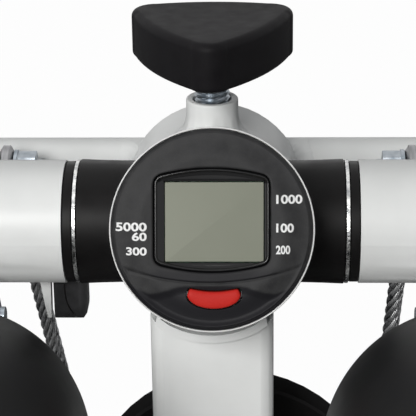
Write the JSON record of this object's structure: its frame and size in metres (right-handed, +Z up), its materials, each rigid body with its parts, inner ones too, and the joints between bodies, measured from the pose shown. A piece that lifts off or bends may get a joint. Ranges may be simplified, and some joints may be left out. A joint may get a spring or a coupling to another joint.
{
  "type": "mini stepper",
  "caption": "Home mini stepper: pedals that rock against hydraulic dampers, joined by a wire rope under a sheave, with a height knob and a round monitor on a white steel frame",
  "frame": {"origin": "centre of the bounding box, on the floor", "axes": "+Z up, -Y the user's side (heel ends of the pedals), +X the user's right"},
  "size_m": [0.309, 0.37, 0.306],
  "materials": {
    "black_bezel": "fine grain",
    "black_enamel": "gloss",
    "black_gloss": "gloss",
    "black_nylon": "satin",
    "black_rubber": "matte",
    "bright_steel": "polished",
    "green_board": "matte",
    "red_button": "satin",
    "screen": "gloss",
    "steel": "satin",
    "white_enamel": "gloss",
    "white_plastic": "satin",
    "zinc_plate": "satin"
  },
  "bodies": {
    "frame": {"base_spine": "white_enamel", "front_stabiliser": "white_enamel", "rear_stabiliser": "white_enamel", "post": "white_enamel", "hub_barrel": "white_enamel", "spindle_collar": "white_enamel", "cross_bar": "white_enamel", "axle": "steel", "monitor_housing": "white_plastic", "monitor_bezel": "black_bezel", "window_frame": "black_gloss", "lcd_panel": "screen", "circuit_board": "green_board", "pickup": "black_nylon", "front_cap_left": "black_rubber", "rear_cap_left": "black_rubber", "bar_plug_left": "black_rubber", "spacer_left": "black_nylon", "thrust_washer_left": "bright_steel", "end_bolt_left": "zinc_plate", "damper_foot_pin_left": "zinc_plate", "front_cap_right": "black_rubber", "rear_cap_right": "black_rubber", "bar_plug_right": "black_rubber", "spacer_right": "black_nylon", "thrust_washer_right": "bright_steel", "end_bolt_right": "zinc_plate", "damper_foot_pin_right": "zinc_plate"},
    "arm_left": {"pedal_arm_left": "white_enamel", "pedal_bracket_left": "steel", "pedal_left": "black_nylon", "toe_bolt_left": "zinc_plate", "inner_bush_left": "black_nylon", "outer_bush_left": "black_nylon", "rope_bolt_left": "zinc_plate", "rope_eye_left": "steel", "damper_top_pin_left": "zinc_plate"},
    "damper_left": {"damper_body_left": "black_enamel"},
    "rod_left": {"damper_rod_left": "bright_steel"},
    "arm_right": {"pedal_arm_right": "white_enamel", "pedal_bracket_right": "steel", "pedal_right": "black_nylon", "toe_bolt_right": "zinc_plate", "inner_bush_right": "black_nylon", "outer_bush_right": "black_nylon", "rope_bolt_right": "zinc_plate", "rope_eye_right": "steel", "damper_top_pin_right": "zinc_plate"},
    "damper_right": {"damper_body_right": "black_enamel"},
    "rod_right": {"damper_rod_right": "bright_steel"},
    "slider": {"slider": "steel", "sheave_bolt": "zinc_plate", "rope_wrap": "steel", "rope_run_left": "steel", "rope_run_right": "steel"},
    "sheave": {"sheave": "black_nylon"},
    "spindle": {"spindle": "zinc_plate", "knob": "black_nylon"},
    "button": {"reset_button": "red_button"}
  },
  "joints": [
    {"name": "arm_left_turn", "type": "hinge", "parent": "frame", "child": "arm_left", "pos_m": [-0.1, 0.112, 0.228], "axis": [1, 0, 0], "range_deg": [-10, 10], "deforming": ["rope_run_left"]},
    {"name": "damper_left_swing", "type": "hinge", "parent": "frame", "child": "damper_left", "pos_m": [-0.1, 0.112, 0.065], "axis": [1, 0, 0], "range_deg": [-8, 8]},
    {"name": "rod_left_slide", "type": "slide", "parent": "damper_left", "child": "rod_left", "axis": [0, -0.9635, 0.2679], "range_m": [-0.0275, 0.0275]},
    {"name": "arm_right_turn", "type": "hinge", "parent": "frame", "child": "arm_right", "pos_m": [0.1, 0.112, 0.228], "axis": [1, 0, 0], "range_deg": [-10, 10], "deforming": ["rope_run_right"]},
    {"name": "damper_right_swing", "type": "hinge", "parent": "frame", "child": "damper_right", "pos_m": [0.1, 0.112, 0.065], "axis": [1, 0, 0], "range_deg": [-8, 8]},
    {"name": "rod_right_slide", "type": "slide", "parent": "damper_right", "child": "rod_right", "axis": [0, -0.9635, 0.2679], "range_m": [-0.0275, 0.0275]},
    {"name": "slider_lift", "type": "slide", "parent": "frame", "child": "slider", "axis": [0, 0, 1], "range_m": [-0.005, 0.009]},
    {"name": "sheave_turn", "type": "hinge", "parent": "slider", "child": "sheave", "pos_m": [0.006, 0.16, 0.07], "axis": [0, 1, 0], "range_deg": [-6, 6]},
    {"name": "knob_turn", "type": "hinge", "parent": "slider", "child": "spindle", "pos_m": [0, 0.128, 0.288], "axis": [0, 0, 1], "range_deg": [-905, 1625]},
    {"name": "button_press", "type": "slide", "parent": "frame", "child": "button", "axis": [0, 0.9397, -0.342], "range_m": [0, 0.0012], "stiffness_N_per_m": 300, "springref_m": -0.001}
  ],
  "couplings": [
    {"joint": "arm_right_turn", "follows": "arm_left_turn", "ratio": -1},
    {"joint": "damper_left_swing", "follows": "arm_left_turn", "ratio": 0.794},
    {"joint": "damper_right_swing", "follows": "arm_left_turn", "ratio": -0.794},
    {"joint": "rod_left_slide", "follows": "arm_left_turn", "m_per_rad": -0.157},
    {"joint": "rod_right_slide", "follows": "arm_left_turn", "m_per_rad": 0.157},
    {"joint": "sheave_turn", "follows": "arm_left_turn", "ratio": 0.568},
    {"joint": "knob_turn", "follows": "slider_lift", "rad_per_m": 3141.6}
  ]
}
